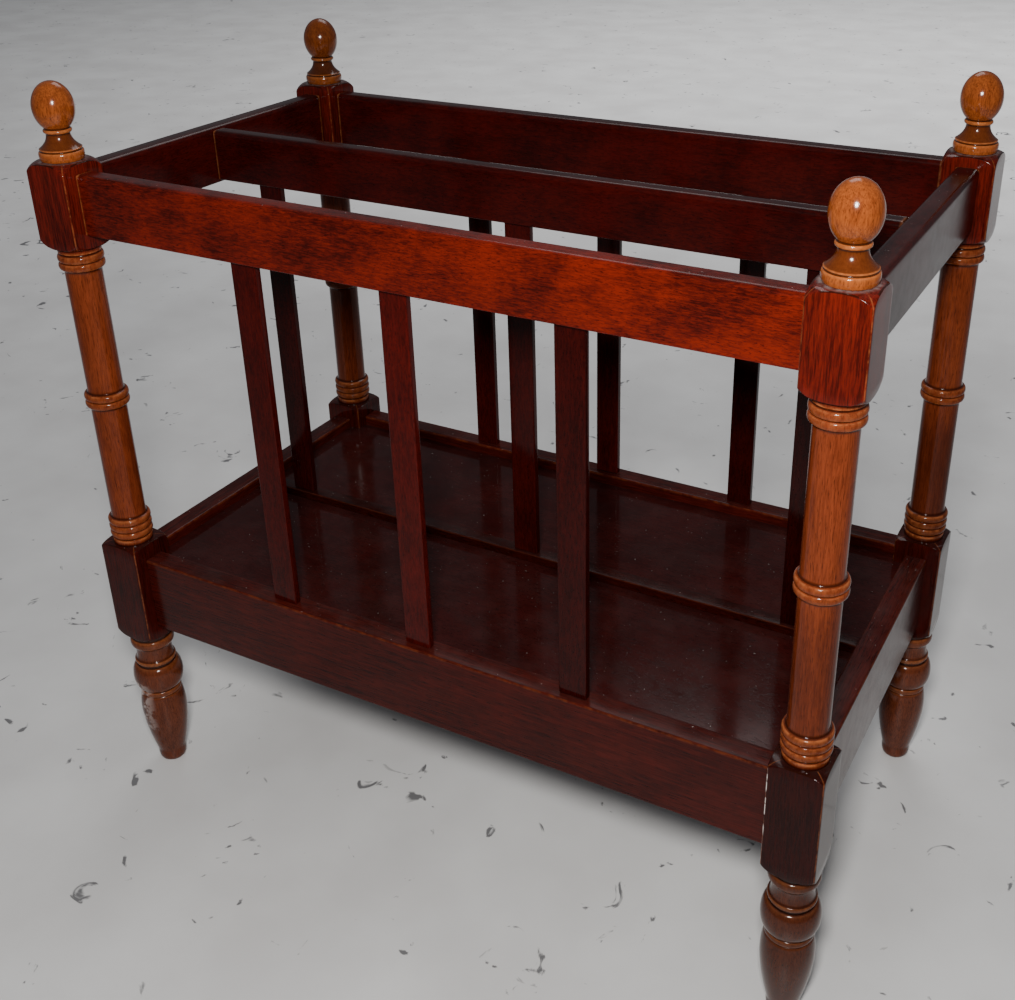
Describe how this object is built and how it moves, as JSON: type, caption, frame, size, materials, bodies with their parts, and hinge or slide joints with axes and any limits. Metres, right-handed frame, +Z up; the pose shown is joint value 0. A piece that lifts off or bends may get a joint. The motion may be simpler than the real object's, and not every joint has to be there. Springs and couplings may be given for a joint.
{
  "type": "newspaper rack",
  "caption": "Free-standing wooden rack with turned corner posts, an open top, a slatted divider and two long bays over a tray, for folded newspapers.",
  "frame": {"origin": "centre of the rack's footprint, at the floor under its feet", "axes": "+X along the rack's long side, towards its right end seen from the front; +Y from front to back; +Z up"},
  "size_m": [0.4964, 0.2764, 0.4821],
  "materials": {
    "post": "clear gloss lacquer over stained hardwood",
    "finial": "clear gloss lacquer over stained hardwood",
    "foot": "clear gloss lacquer over stained hardwood",
    "rail": "clear gloss lacquer over stained hardwood",
    "divider": "clear gloss lacquer over stained hardwood",
    "apron": "clear gloss lacquer over stained hardwood",
    "tray": "clear gloss lacquer over stained hardwood",
    "slat": "clear gloss lacquer over stained hardwood"
  },
  "bodies": {
    "root": {"post_front_left": "post", "post_front_right": "post", "post_back_left": "post", "post_back_right": "post", "finial_front_left": "finial", "finial_front_right": "finial", "finial_back_left": "finial", "finial_back_right": "finial", "foot_front_left": "foot", "foot_front_right": "foot", "foot_back_left": "foot", "foot_back_right": "foot", "rail_front": "rail", "rail_back": "rail", "rail_left": "rail", "rail_right": "rail", "rail_divider": "divider", "apron_front": "apron", "apron_back": "apron", "apron_left": "apron", "apron_right": "apron", "batten_divider": "apron", "panel_tray": "tray", "slat_front_left": "slat", "slat_front_middle": "slat", "slat_front_right": "slat", "slat_back_left": "slat", "slat_back_middle": "slat", "slat_back_right": "slat", "slat_divider_left": "slat", "slat_divider_middle": "slat", "slat_divider_right": "slat"}
  },
  "joints": []
}
